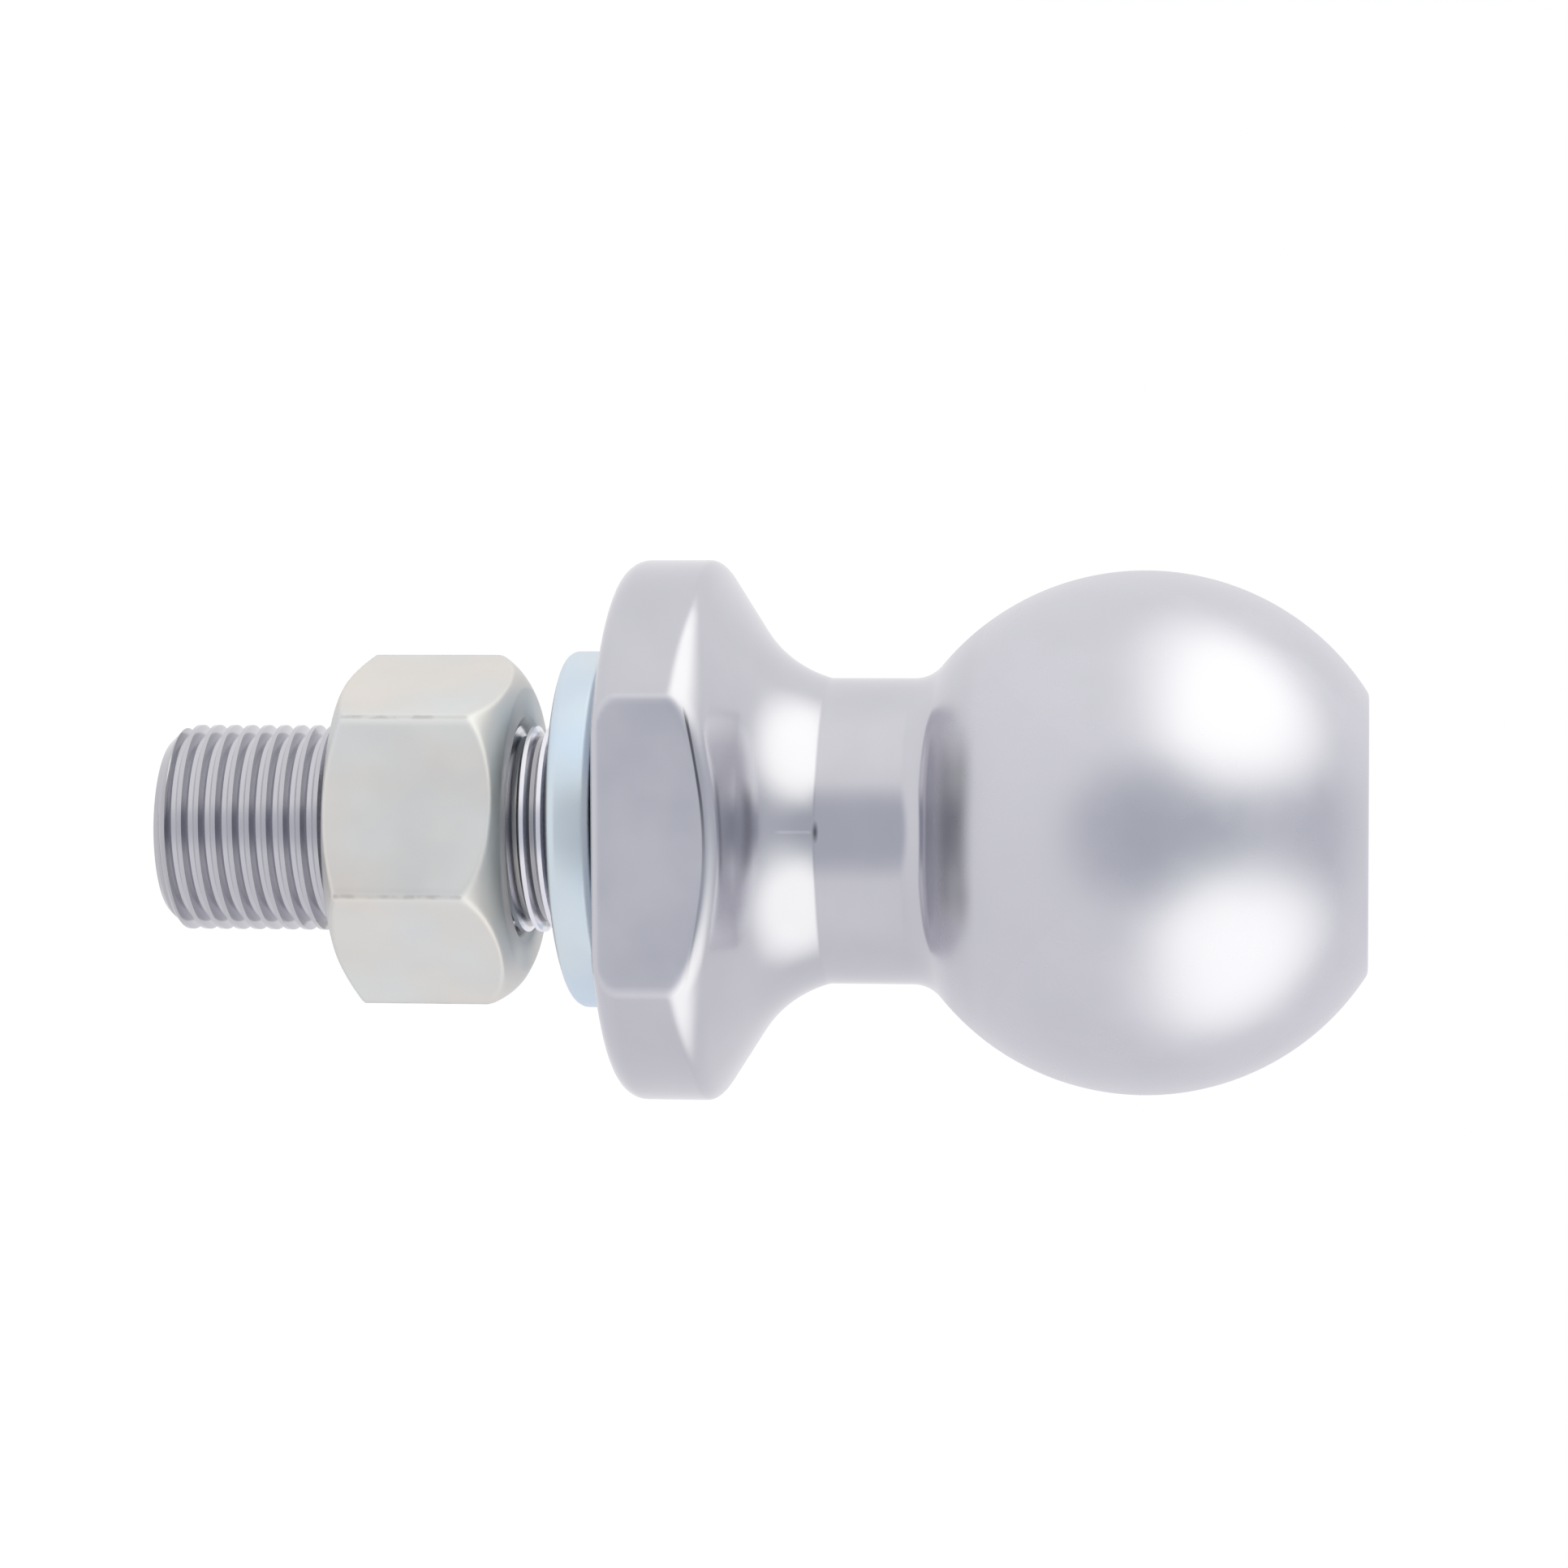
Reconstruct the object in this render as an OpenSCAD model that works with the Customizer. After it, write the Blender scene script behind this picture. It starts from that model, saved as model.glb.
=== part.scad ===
// Threaded tow ball with its lock washer and nut.
// Z runs along the shank towards the ball. The origin is the centre of the collar's
// seat face, which lies on the drawbar when the ball is bolted down.

/* [Ball] */
// Diameter of the ball
ball_d = 47.6; // [46:0.1:54]
// Height of the ball's centre above the seat
ball_centre_h = 47.4; // [46:0.1:60]
// Diameter of the flat on top of the ball
top_flat_d = 25.2; // [10:0.1:34]

/* [Neck] */
// Diameter of the neck
neck_d = 28; // [24:0.1:31]
// Radius of the hollow between the neck and the ball
neck_fillet_r = 3.5; // [1:0.1:5]
// Radius of the hollow between the neck and the flare
flare_fillet_r = 11; // [6:0.1:14]
// Slope of the flare, from the axis
flare_angle = 57.2; // [50:0.1:62]
// Slope left at the hollow's upper end, where the turned neck cuts it off
flare_end_angle = 15; // [0:1:30]

/* [Collar] */
// Diameter of the round collar
collar_d = 49.6; // [46:0.1:56]
// Distance between the collar's two spanner flats
collar_flats = 42.3; // [38:0.1:46]
// Height at which the collar's side would meet the flare
collar_h = 8.5; // [6:0.1:10]
// Radius of the round between the collar's side and the flare
crest_round_r = 1.5; // [0.5:0.1:3]
// Radius of the round between the collar's side and the seat
seat_round_r = 2.2; // [0.5:0.1:3]

/* [Shank] */
// Diameter over the thread's crests
shank_d = 19.05; // [16:0.05:22]
// Length of the shank below the seat
shank_len = 42.9; // [36:0.1:60]
// Width of the chamfer at the shank's end
shank_chamfer = 1.4; // [0.4:0.1:3]

/* [Lock washer] */
// Width of the ring's section, from bore to rim
washer_section_w = 6.55; // [4:0.05:7]
// Thickness of the ring's section
washer_t = 4.2; // [2:0.1:5]
// Radius of the section's corners
washer_corner_r = 1; // [0.2:0.1:1]
// Drop from one sprung end to the other
washer_rise = 2.2; // [0.2:0.1:3]
// Width of the split
split_w = 1.4; // [0.6:0.1:4]
// Slope of the split, from the axis
split_slant = 22; // [0:1:35]
// Room all round between the ring and the shank
washer_clearance = 0.35; // [0.2:0.05:1]
// Gap between the ring's high end and the seat
washer_seat_gap = 0; // [0:0.05:1]

/* [Nut] */
// Width of the nut across its flats
nut_af = 28.6; // [26:0.1:31]
// Diameter that the nut's six corners are turned down to
nut_corner_d = 32.7; // [32:0.1:33]
// Height of the nut
nut_h = 16.2; // [10:0.1:20]
// Depth of the nut's upper face below the seat
nut_top_depth = 9.6; // [7:0.1:20]
// Turn of the nut from the collar's flats
nut_angle = -11.7; // [-30:0.1:30]
// Diameter of the face left on top, inside the rounded corners
nut_crown_d = 26; // [23:0.1:28]
// Radius of the rounding over the upper corners
nut_crown_r = 6.8; // [6.4:0.1:12]
// Diameter of the chamfer circle on the lower face
nut_foot_d = 27.8; // [23:0.1:28.4]
// Slope of the lower chamfer, from the face
nut_foot_angle = 30; // [15:1:45]
// Diameter of the countersinks at both ends of the bore
countersink_d = 21; // [19.6:0.1:22.5]
// Room all round between the nut's bore and the thread's crests
nut_clearance = 0.05; // [0.02:0.01:0.1]

/* [Hidden] */
$fn = 96;

// Amount by which one cutting shape runs past another
over = 1;
// Lean of the front flat from the front
collar_turn = 3.4;

ball_r = ball_d / 2;
neck_r = neck_d / 2;
shank_r = shank_d / 2;

// The flat cuts the ball here
top_h = ball_centre_h + sqrt(ball_r * ball_r - top_flat_d * top_flat_d / 4);

// Centre of the hollow that touches both the neck and the ball
neck_fillet_x = neck_r + neck_fillet_r;
neck_fillet_h = ball_centre_h
    - sqrt(pow(ball_r + neck_fillet_r, 2) - neck_fillet_x * neck_fillet_x);
// Where that hollow leaves the ball
ball_touch = neck_fillet_x * ball_r / (ball_r + neck_fillet_r);
ball_touch_h = ball_centre_h
    - (ball_centre_h - neck_fillet_h) * ball_r / (ball_r + neck_fillet_r);

collar_r = collar_d / 2;
// Where the flare's straight side runs into the hollow, which then ends at the neck
flare_touch = neck_r + flare_fillet_r * (cos(flare_end_angle) - cos(flare_angle));
flare_touch_h = collar_h + (collar_r - flare_touch) / tan(flare_angle);
flare_fillet_x = neck_r + flare_fillet_r * cos(flare_end_angle);
flare_fillet_h = flare_touch_h + flare_fillet_r * sin(flare_angle);
neck_foot_h = flare_fillet_h - flare_fillet_r * sin(flare_end_angle);
// Point inside the hollow's circle that closes the section at that height
flare_inner_x = flare_touch
    + (flare_fillet_x - flare_touch) * (1 - sin(flare_end_angle) / sin(flare_angle));
// Centre of the crest's round, and where the round meets the flare
crest_reach = crest_round_r * tan(flare_angle / 2);
crest_x = collar_r - crest_round_r;
crest_h = collar_h - crest_reach;
crest_touch = collar_r - crest_reach * sin(flare_angle);
crest_touch_h = collar_h + crest_reach * cos(flare_angle);

washer_bore_r = shank_r + washer_clearance;
washer_mean_r = washer_bore_r + washer_section_w / 2;
// Sections along the ring, and steps round each corner of a section
washer_steps = 90;
corner_steps = 3;
// Angle that the split takes out, and the lean of its faces for each millimetre of height
split_span = split_w / washer_mean_r * 180 / PI;
split_lean = tan(split_slant) / washer_mean_r * 180 / PI;
// The split lies at the back, an eighth of a turn round from its middle
split_at = 45;

nut_bore_r = shank_r + nut_clearance;
nut_corner_r = nut_corner_d / 2;
nut_foot_h = (nut_corner_r - nut_foot_d / 2) * tan(nut_foot_angle);
countersink_h = countersink_d / 2 - nut_bore_r;
// The rounding starts from the top face at this slope, and its centre lies here
nut_crown_slope = 22;
nut_crown_x = nut_crown_d / 2 - nut_crown_r * sin(nut_crown_slope);
nut_crown_h = nut_h - nut_crown_r * cos(nut_crown_slope);
// The rounding ends on the corners at this height
nut_edge_h = nut_crown_h + sqrt(pow(nut_crown_r, 2) - pow(nut_corner_r - nut_crown_x, 2));

// A hexagonal prism on z = 0 with a flat to the front
module hex_prism(across_flats, height) {
    linear_extrude(height)
        polygon([for (i = [0 : 5])
            across_flats / sqrt(3) * [cos(60 * i), sin(60 * i)]]);
}

// Half the section from the seat to the foot of the neck
module collar_section() {
    difference() {
        polygon([
            [0, 0],
            [collar_r - seat_round_r, 0],
            [collar_r - seat_round_r, seat_round_r],
            [collar_r, seat_round_r],
            [collar_r, crest_h],
            [crest_x, crest_h],
            [crest_touch, crest_touch_h],
            [flare_touch, flare_touch_h],
            [flare_inner_x, neck_foot_h],
            [0, neck_foot_h],
        ]);
        translate([flare_fillet_x, flare_fillet_h])
            circle(flare_fillet_r);
    }
    // The rounds at the seat and at the crest
    translate([collar_r - seat_round_r, seat_round_r])
        circle(seat_round_r);
    translate([crest_x, crest_h])
        circle(crest_round_r);
}

// Half the section from the foot of the neck to the flat on top
module ball_section() {
    difference() {
        polygon([
            [0, neck_foot_h - over],
            [neck_r, neck_foot_h - over],
            [neck_r, neck_fillet_h],
            [neck_fillet_x, neck_fillet_h],
            [ball_touch, ball_touch_h],
            [0, ball_touch_h],
        ]);
        translate([neck_fillet_x, neck_fillet_h])
            circle(neck_fillet_r);
    }
    intersection() {
        translate([0, ball_centre_h])
            circle(ball_r);
        translate([0, ball_touch_h - over])
            square([ball_r + over, top_h - ball_touch_h + over]);
    }
}

// The threaded shank as a plain bar over the crests, chamfered at its end
module shank() {
    translate([0, 0, -shank_len])
        cylinder(h = shank_chamfer, r1 = shank_r - shank_chamfer, r2 = shank_r);
    // The bar runs on into the collar, so that the two are one piece
    translate([0, 0, shank_chamfer - shank_len])
        cylinder(h = shank_len - shank_chamfer + over, r = shank_r);
}

// The forging: ball, neck, flare, collar with two flats and shank in one piece
module tow_ball() {
    color("#c9cad3") {
        intersection() {
            rotate_extrude() collar_section();
            // The two spanner flats, at the front and the back
            rotate([0, 0, collar_turn])
                translate([-collar_d, -collar_flats / 2, -over])
                    cube([2 * collar_d, collar_flats, neck_foot_h + 2 * over]);
        }
        rotate_extrude() ball_section();
        shank();
    }
}

// The ring's section, as points round a rectangle with rounded corners
function section_points() = [
    for (q = [0 : 3]) for (k = [0 : corner_steps])
        let (a = 90 * q + 90 * k / corner_steps,
             sx = (q == 0 || q == 3) ? 1 : -1,
             sz = (q < 2) ? 1 : -1)
        [sx * (washer_section_w / 2 - washer_corner_r) + washer_corner_r * cos(a),
         sz * (washer_t / 2 - washer_corner_r) + washer_corner_r * sin(a)]
];

// One point of the ring: the section's point p at the fraction f of the way round
function ring_point(p, f) =
    let (turn = split_at + split_span / 2 + f * (360 - split_span)
             + split_lean * p[1],
         x = washer_mean_r + p[0])
    [x * cos(turn), x * sin(turn), p[1] + washer_rise * (f - 0.5)];

// The lock washer: a ring of rounded section, split and sprung into one turn of a helix
module lock_washer() {
    section = section_points();
    count = len(section);
    points = [for (s = [0 : washer_steps]) for (p = section)
        ring_point(p, s / washer_steps)];
    sides = [for (s = [0 : washer_steps - 1]) for (k = [0 : count - 1])
        let (a = s * count + k, b = s * count + (k + 1) % count)
        each [[a, a + count, b], [b, a + count, b + count]]];
    ends = [[for (k = [0 : count - 1]) k],
        [for (k = [count - 1 : -1 : 0]) washer_steps * count + k]];
    color("#b9cdd9")
        translate([0, 0, -washer_seat_gap - (washer_t + washer_rise) / 2])
            polyhedron(points, concat(sides, ends), convexity = 4);
}

// Half the section of the nut's blank, chamfered below and rounded over above
module nut_section() {
    polygon([
        [0, 0],
        [nut_foot_d / 2, 0],
        [nut_corner_r, nut_foot_h],
        [nut_corner_r, nut_edge_h],
        [nut_crown_d / 2, nut_h],
        [0, nut_h],
    ]);
    // What the rounding leaves outside the straight line from the corners to the face
    intersection() {
        translate([nut_crown_x, nut_crown_h])
            circle(nut_crown_r);
        translate([nut_crown_x, nut_edge_h])
            square([nut_corner_r - nut_crown_x, nut_h - nut_edge_h]);
    }
}

// The nut: a finished hexagon nut with a countersunk bore
module hex_nut() {
    color("#d6d7d9")
        translate([0, 0, -nut_top_depth - nut_h])
            difference() {
                intersection() {
                    rotate_extrude() nut_section();
                    rotate([0, 0, collar_turn + nut_angle])
                        hex_prism(nut_af, nut_h);
                }
                translate([0, 0, -over])
                    cylinder(h = nut_h + 2 * over, r = nut_bore_r);
                translate([0, 0, -over])
                    cylinder(h = countersink_h + over,
                        r1 = countersink_d / 2 + over, r2 = nut_bore_r);
                translate([0, 0, nut_h - countersink_h])
                    cylinder(h = countersink_h + over,
                        r1 = nut_bore_r, r2 = countersink_d / 2 + over);
            }
}

tow_ball();
lock_washer();
hex_nut();
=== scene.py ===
"""Threaded tow ball with its lock washer and nut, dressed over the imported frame.

Z runs along the shank towards the ball and the origin is the middle of the collar's seat.
Lengths in the property groups are in metres. The camera is rolled a quarter turn, so that
the shank lies level in the picture, as it does in the photograph.
"""

import math

import bmesh
import bpy
import numpy as np
from mathutils import Matrix, Vector


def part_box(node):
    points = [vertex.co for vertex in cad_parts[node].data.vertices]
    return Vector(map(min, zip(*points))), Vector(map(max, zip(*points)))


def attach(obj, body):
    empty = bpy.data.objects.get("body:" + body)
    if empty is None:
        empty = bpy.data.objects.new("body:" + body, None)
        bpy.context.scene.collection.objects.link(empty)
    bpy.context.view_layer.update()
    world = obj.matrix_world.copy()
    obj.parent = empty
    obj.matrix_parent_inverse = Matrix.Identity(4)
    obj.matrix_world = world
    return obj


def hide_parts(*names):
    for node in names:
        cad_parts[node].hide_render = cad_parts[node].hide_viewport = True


bl_info = {
    "name": "Threaded tow ball",
    "version": (1, 0, 0),
    "blender": (4, 5, 0),
    "location": "View3D > Sidebar > Tow ball",
    "description": "Builds a chromed tow ball with a threaded shank, a lock washer and a nut",
    "category": "Object",
}

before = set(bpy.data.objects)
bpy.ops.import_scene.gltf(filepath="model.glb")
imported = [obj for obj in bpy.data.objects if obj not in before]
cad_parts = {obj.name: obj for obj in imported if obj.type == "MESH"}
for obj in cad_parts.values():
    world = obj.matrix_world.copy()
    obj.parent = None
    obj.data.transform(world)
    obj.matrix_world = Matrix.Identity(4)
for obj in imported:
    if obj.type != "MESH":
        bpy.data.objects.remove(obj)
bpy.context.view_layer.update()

MM = 0.001
# Millimetres up the collar: where its plain side ends, and where the flats' edges run out
SIDE_TOP = 6.3
RIM_FOOT, RIM_HEAD = 6.5, 9.5
# Points nearer than this, in metres, are merged
WELD = 2e-6
# Where the thread ends, inside the collar
THREAD_TOP = 0.4 * MM
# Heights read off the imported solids: the washer's highest point and the nut's lower face
WASHER_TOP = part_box("lock_washer")[1][2]
NUT_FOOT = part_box("hex_nut")[0][2]


# Sizes and colours


def length(name, description, value):
    """A length property in metres, its default given in millimetres."""
    return bpy.props.FloatProperty(
        name=name,
        description=description,
        default=value * MM,
        min=0.0,
        precision=5,
        unit="LENGTH",
        subtype="DISTANCE",
    )


def degrees(name, description, value):
    """An angle property, its default given in degrees."""
    return bpy.props.FloatProperty(
        name=name,
        description=description,
        default=math.radians(value),
        subtype="ANGLE",
        unit="ROTATION",
    )


def linear(hex_value):
    """An sRGB hex colour as linear red, green, blue and alpha."""
    channels = [int(hex_value[i : i + 2], 16) / 255 for i in (1, 3, 5)]
    return [c / 12.92 if c <= 0.04045 else ((c + 0.055) / 1.055) ** 2.4 for c in channels] + [1.0]


def colour(name, description, hex_value):
    """A colour property whose default is an sRGB hex value."""
    return bpy.props.FloatVectorProperty(
        name=name,
        description=description,
        subtype="COLOR",
        size=4,
        min=0.0,
        max=1.0,
        default=linear(hex_value),
    )


class ForgingSizes(bpy.types.PropertyGroup):
    ball_diameter: length("Ball diameter", "Width of the ball", 47.6)
    ball_height: length("Ball height", "Height of the ball's centre above the seat", 47.4)
    top_flat: length("Top flat", "Diameter of the flat turned on the ball", 25.2)
    top_edge: length("Top edge", "Radius that softens the flat's rim", 1.3)
    neck_diameter: length("Neck diameter", "Width of the neck", 28.0)
    neck_hollow: length("Neck hollow", "Radius of the hollow between neck and ball", 3.5)
    flare_hollow: length("Flare hollow", "Radius of the hollow between neck and flare", 11.0)
    flare_slope: degrees("Flare slope", "Angle between the flare and the axis", 57.2)
    flare_end: degrees(
        "Flare end", "Slope left at the hollow's upper end, where the turned neck cuts it off", 15.0
    )
    collar_diameter: length("Collar diameter", "Width of the round collar", 49.6)
    collar_flats: length("Collar flats", "Distance between the two spanner flats", 42.3)
    collar_height: length("Collar height", "Where the side would meet the flare", 8.5)
    crest_round: length("Crest round", "Radius between the collar's side and the flare", 1.5)
    crest_widening: length("Crest widening", "What the crest's round gains beside the flats", 1.6)
    seat_round: length("Seat round", "Radius between the collar's side and the seat", 2.2)
    flat_round: length("Flat round", "Radius between the flats and the seat", 0.7)
    side_softness: length("Side softness", "Depth over which flats run into the side", 0.22)
    crest_softness: length("Crest softness", "Depth over which flats run into the flare", 1.3)
    collar_turn: degrees("Collar turn", "Turn of the front flat about the axis", 3.4)


class ThreadSizes(bpy.types.PropertyGroup):
    crest_diameter: length("Crest diameter", "Diameter over the thread's crests", 19.05)
    pitch: length("Pitch", "Distance from one turn of the thread to the next", 1.5875)
    depth: length("Depth", "Depth of the thread's grooves", 0.92)
    end: length("Shank length", "Length of the shank below the seat", 42.9)
    end_chamfer: length("End chamfer", "Width of the chamfer at the shank's end", 1.4)


class WasherSizes(bpy.types.PropertyGroup):
    mean_diameter: length("Mean diameter", "Diameter of the middle of the ring", 26.3)
    width: length("Width", "Width of the ring's section", 6.55)
    thickness: length("Thickness", "Thickness of the ring's section", 4.2)
    corner: length("Corner radius", "Radius of the section's corners", 1.0)
    rise: length("Rise", "Drop from one sprung end to the other", 2.2)
    split: length("Split", "Width of the split", 1.4)
    split_place: degrees(
        "Split place", "Where the split lies about the axis, from the photograph's lower side", 45
    )
    split_slant: degrees("Split slant", "Slope of the split from the axis", 22)


class NutSizes(bpy.types.PropertyGroup):
    across_flats: length("Across flats", "Width of the nut across its flats", 28.6)
    corner: length("Corner diameter", "Diameter over the nut's corners", 32.8)
    corner_radius: length("Corner radius", "Radius that softens the upright corners", 1.1)
    height: length("Height", "Height of the nut", 16.2)
    crown: length("Crown diameter", "Diameter of the face inside the rounding", 26.0)
    crown_radius: length("Crown radius", "Radius of the rounding over the corners", 6.8)
    foot: length("Foot diameter", "Diameter of the face inside the lower chamfer", 27.8)
    countersink: length("Countersink", "Diameter of the countersinks", 21.0)
    bore: length("Bore diameter", "Diameter of the bore", 19.15)
    edge_softness: length("Edge softness", "Width over which faces run into each other", 0.24)
    turn: degrees("Turn", "Turn of the nut about the axis", -8.35)


class Finishes(bpy.types.PropertyGroup):
    chrome: colour("Chrome", "Satin chrome plate on the forging", "#D2D2D9")
    chrome_thread: colour("Thread chrome", "Plate on the rolled thread", "#E0E0E6")
    zinc: colour("Zinc", "Clear zinc plate on the nut", "#E5E4E3")
    blue_zinc: colour("Blue zinc", "Pale blue zinc plate on the lock washer", "#E0EAF1")
    backdrop: colour("Backdrop", "Floor and backdrop", "#FFFFFF")


# How far the camera stands above level, on the ball's side
CAMERA_LIFT = math.radians(7.55)
TO_CAMERA = (0.0, -math.cos(CAMERA_LIFT), math.sin(CAMERA_LIFT))
# The photograph's width and its lens's focal length, both in its own pixels
PHOTO_WIDTH, PHOTO_FOCAL = 1932, 5360
# Directions from the part to the middle of each soft box
UPPER_BOX = (-0.832, -0.318, 0.455)
LOWER_BOX = (0.768, -0.391, 0.508)
# Degrees from the camera, and from a soft box's middle, where its patch ends and is full
DISC_FADE, BOX_FADE = (41, 19), (52, 17)


# Materials

# The kinds of node used most, with settings for a range's ends and for mixes of colour
MATH, VECTOR_MATH = "ShaderNodeMath", "ShaderNodeVectorMath"
RANGE, MIX, NOISE = "ShaderNodeMapRange", "ShaderNodeMix", "ShaderNodeTexNoise"
SMOOTH = {"interpolation_type": "SMOOTHSTEP"}
COLOUR = {"data_type": "RGBA"}
TIMES = {"data_type": "RGBA", "blend_type": "MULTIPLY"}
# What a place is multiplied by to leave out its height
LEVEL = (1.0, 1.0, 0.0)
# Millimetres up the forging: the middle of the painted shade in the hollow below the ball, and
# where its finish changes
HOLLOW_SHADE_MIDDLE = 31.5
BALL_FOOT, BALL_GROUND = 28.6, 30.6
NECK_FOOT, NECK_TURNED = 18.6, 19.2
# A pit at the foot of the neck, and how its shape is drawn out across and along the axis
PIT = (0.0, -14.05, 19.0)
PIT_SCALE = (0.45, 1.0, 1.6)


def add_node(tree, kind, sources=(), **settings):
    """Add a node, set its properties, and give its inputs their sources.

    A source is a socket to link, a node whose first output is linked, or a plain value. The
    sources are a list for the first inputs in order, or a dictionary by the inputs' names or
    numbers.
    """
    node = tree.nodes.new(kind)
    for key, value in settings.items():
        setattr(node, key, value)
    pairs = sources.items() if isinstance(sources, dict) else enumerate(sources)
    for place, source in pairs:
        if isinstance(source, bpy.types.Node):
            source = source.outputs[0]
        if isinstance(source, bpy.types.NodeSocket):
            tree.links.new(source, node.inputs[place])
        else:
            node.inputs[place].default_value = source
    return node


def shade(colour_value, factor):
    """A linear colour made darker or lighter by a factor."""
    return [min(1.0, c * factor) for c in colour_value[:3]] + [1.0]


def satin_steel(name, base, dark, roughness, grain_mm, relief_mm):
    """A plated steel: two close shades in patches, a fine grain and a slightly uneven gloss.

    Plating follows the turned or rolled metal below it, so the gloss drifts over patches of
    several millimetres, and a grain of a fraction of a millimetre softens reflections.
    Returns the material, its tree, its shader, its shade of colour and its coordinates.
    """
    material = bpy.data.materials.new(name)
    material.use_nodes = True
    tree = material.node_tree
    shader = next(n for n in tree.nodes if n.type == "BSDF_PRINCIPLED")
    shader.inputs["Metallic"].default_value = 1.0
    where = add_node(tree, "ShaderNodeTexCoord").outputs["Object"]
    # Patches about 7 mm across
    patches = add_node(tree, NOISE, {"Vector": where, "Scale": 1 / (7 * MM), "Detail": 3.0})
    share = add_node(tree, RANGE, [patches, 0.22, 0.78], **SMOOTH)
    tint = add_node(tree, MIX, {0: share, 6: shade(base, dark), 7: base}, **COLOUR).outputs[2]
    gloss = add_node(
        tree, RANGE, [patches, 0.22, 0.78, roughness * 0.85, roughness * 1.15], **SMOOTH
    )
    grain = add_node(tree, NOISE, {"Vector": where, "Scale": 1 / (grain_mm * MM), "Detail": 2.0})
    bump = add_node(
        tree, "ShaderNodeBump", {"Height": grain, "Strength": 1.0, "Distance": relief_mm * MM}
    )
    tree.links.new(tint, shader.inputs["Base Color"])
    tree.links.new(gloss.outputs["Result"], shader.inputs["Roughness"])
    tree.links.new(bump.outputs["Normal"], shader.inputs["Normal"])
    return material, tree, shader, tint, where


def chrome_forging(colours, sizes):
    """Satin chrome on a turned forging: faint turning rings, ground ball and flats, one pit, and
    painted shade in the hollow below the ball and along a flat's rim.
    """
    material, tree, shader, tint, where = satin_steel(
        "satin_chrome_forging",
        list(colours.chrome),
        dark=0.955,
        roughness=0.27,
        grain_mm=0.5,
        relief_mm=0.0003,
    )
    x, y, z = add_node(tree, "ShaderNodeSeparateXYZ", [where]).outputs
    # Turning rings 0.35 mm apart, which a lathe leaves round the axis under the plate
    rings = add_node(
        tree, NOISE, {"W": z, "Scale": 1 / (0.35 * MM), "Detail": 1.0}, noise_dimensions="1D"
    )
    grained = shader.inputs["Normal"].links[0].from_node
    turned = add_node(
        tree,
        "ShaderNodeBump",
        {"Height": rings, "Normal": grained, "Strength": 1.0, "Distance": 0.0006 * MM},
    )
    # A pit 0.5 mm wide at the foot of the neck, drawn out along the edge where the turning ends
    near = add_node(tree, VECTOR_MATH, [where, PIT_SCALE], operation="MULTIPLY")
    middle = [PIT[i] * PIT_SCALE[i] * MM for i in range(3)]
    from_pit = add_node(tree, VECTOR_MATH, [near, middle], operation="DISTANCE")
    pit = add_node(tree, RANGE, [from_pit.outputs["Value"], 0.1 * MM, 0.5 * MM, 0.3, 1.0])
    # Painted shade in the hollow below the ball, strongest in front and behind
    aside = add_node(tree, MATH, [x], operation="ABSOLUTE")
    below_ball = add_node(tree, MATH, [z, HOLLOW_SHADE_MIDDLE * MM], operation="SUBTRACT")
    below_ball = add_node(tree, MATH, [below_ball], operation="ABSOLUTE")
    hollow_shade_strength = add_node(tree, RANGE, [aside, 10 * MM, 5 * MM, -0.04, -0.4], **SMOOTH)
    shade_and_tone = add_node(tree, RANGE, [below_ball, 2.2 * MM, 0.5 * MM], **SMOOTH)
    shade_and_tone = add_node(tree, MATH, [shade_and_tone, hollow_shade_strength, 1.0], operation="MULTIPLY_ADD")
    # The ball is ground dull, and the neck and flare are left brighter from the lathe
    gloss = shader.inputs["Roughness"].links[0].from_socket
    on_ball = add_node(tree, RANGE, [z, BALL_FOOT * MM, BALL_GROUND * MM], **SMOOTH)
    ground = add_node(tree, MATH, [on_ball, 0.42, 0.58], operation="MULTIPLY_ADD")
    # The flats are ground dull too, from the front and back
    flat_faces = (math.sin(sizes.collar_turn), -math.cos(sizes.collar_turn), 0)
    to_flat = add_node(tree, VECTOR_MATH, [where, flat_faces], operation="DOT_PRODUCT")
    depth = add_node(tree, MATH, [to_flat.outputs["Value"]], operation="ABSOLUTE")
    half = sizes.collar_flats / 2
    on_face = add_node(tree, RANGE, [depth, half - 0.4 * MM, half - 0.1 * MM], **SMOOTH)
    squares = add_node(tree, MATH, [x, x], operation="MULTIPLY")
    squares = add_node(tree, MATH, [y, y, squares], operation="MULTIPLY_ADD")
    turned_radius = add_node(tree, MATH, [squares], operation="SQRT")
    # How far inside the turned flare a point lies: nothing on the flare, more on a flat
    slope = math.tan(sizes.flare_slope)
    flare_at_seat = sizes.collar_diameter / 2 + sizes.collar_height * slope
    flare_radius = add_node(tree, MATH, [z, -slope, flare_at_seat], operation="MULTIPLY_ADD")
    inside = add_node(tree, MATH, [flare_radius, turned_radius], operation="SUBTRACT")
    edge_at = add_node(tree, RANGE, [z, RIM_FOOT * MM, RIM_HEAD * MM, 0.25 * MM, 1.2 * MM])
    from_edge = add_node(tree, MATH, [inside, edge_at], operation="SUBTRACT")
    past_edge = add_node(tree, RANGE, [from_edge, 0.0, 0.25 * MM], **SMOOTH)
    on_flat = add_node(tree, MATH, [on_face, past_edge], operation="MULTIPLY")
    ground = add_node(tree, MATH, [on_flat, 0.8, ground], operation="MULTIPLY_ADD")
    dull = add_node(tree, MATH, [gloss, ground], operation="MULTIPLY")
    tree.links.new(dull.outputs[0], shader.inputs["Roughness"])
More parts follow.
